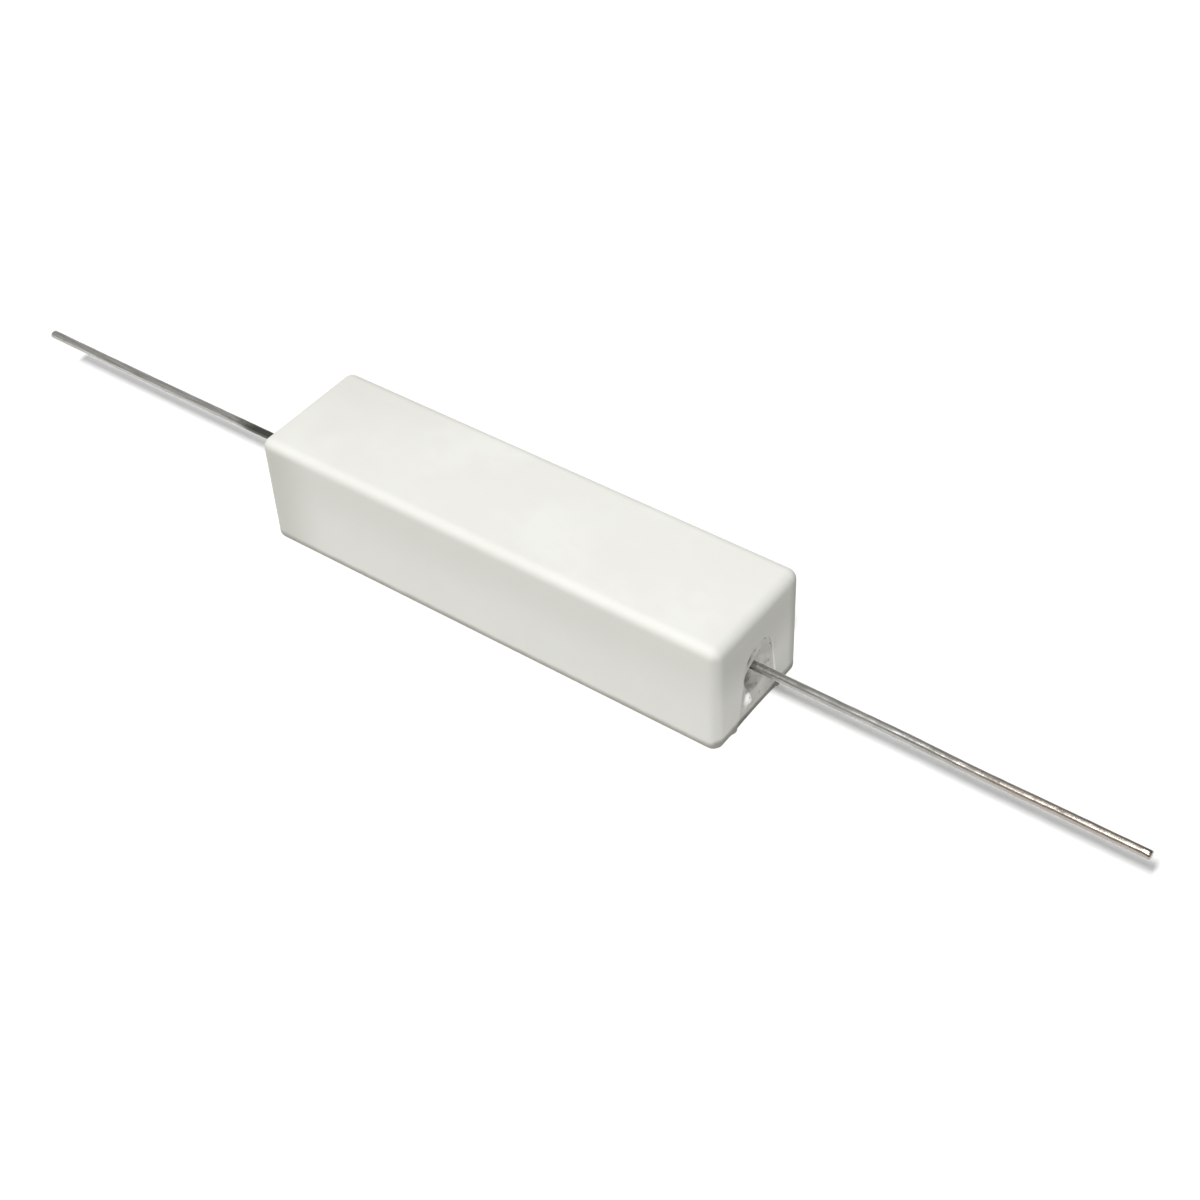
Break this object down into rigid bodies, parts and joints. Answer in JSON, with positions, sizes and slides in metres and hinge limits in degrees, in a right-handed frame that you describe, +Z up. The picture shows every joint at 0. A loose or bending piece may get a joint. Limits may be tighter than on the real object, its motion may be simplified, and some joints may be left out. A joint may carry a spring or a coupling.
{
  "type": "axial resistor",
  "caption": "White ceramic-cased power resistor with a straight tinned wire lead at each end and a cement-filled underside.",
  "frame": {"origin": "under the middle of the case, on the surface that its open rim stands on", "axes": "+X along the leads towards the end that the picture shows, +Y across the case away from the viewer, +Z up towards the closed top of the case"},
  "size_m": [0.119, 0.0126, 0.0115],
  "materials": {
    "white_ceramic": "matt, unglazed, very fine grain",
    "silica_cement": "matt, slightly rough and sandy",
    "core_ceramic": "matt",
    "resistance_alloy": "drawn wire, dull",
    "cap_steel": "pressed sheet, satin",
    "tinned_wire": "hot-tinned, satin, slightly uneven"
  },
  "bodies": {
    "root": {"ceramic_case": "white_ceramic", "cement_fill": "silica_cement", "core_rod": "core_ceramic", "resistance_wire": "resistance_alloy", "left_end_cap": "cap_steel", "right_end_cap": "cap_steel", "left_lead": "tinned_wire", "right_lead": "tinned_wire"}
  },
  "joints": []
}
